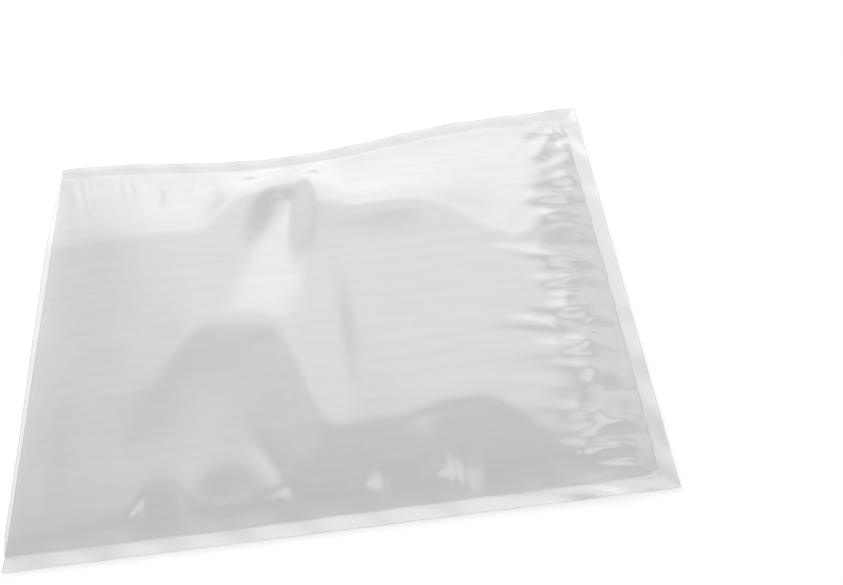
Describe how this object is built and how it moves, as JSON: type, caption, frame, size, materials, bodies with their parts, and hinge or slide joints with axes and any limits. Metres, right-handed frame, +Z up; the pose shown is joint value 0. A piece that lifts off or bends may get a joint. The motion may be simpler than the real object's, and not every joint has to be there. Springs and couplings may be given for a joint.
{
  "type": "vacuum sealer bag",
  "caption": "Clear smooth plastic film pouch, heat-sealed on three edges and open at one short end, lying flat with a little air between its panels.",
  "frame": {"origin": "on the surface the pouch lies on, under the middle of its outline", "axes": "+Z up, +X along the long way from the open mouth to the bottom seal, +Y across the pouch"},
  "size_m": [0.33, 0.254, 0.0129],
  "materials": {
    "clear_film": "clear glossy blown film of nylon on polyethylene, faintly grey in reflection, fused clearer at the seals"
  },
  "bodies": {
    "root": {"pouch": "clear_film"}
  },
  "joints": []
}
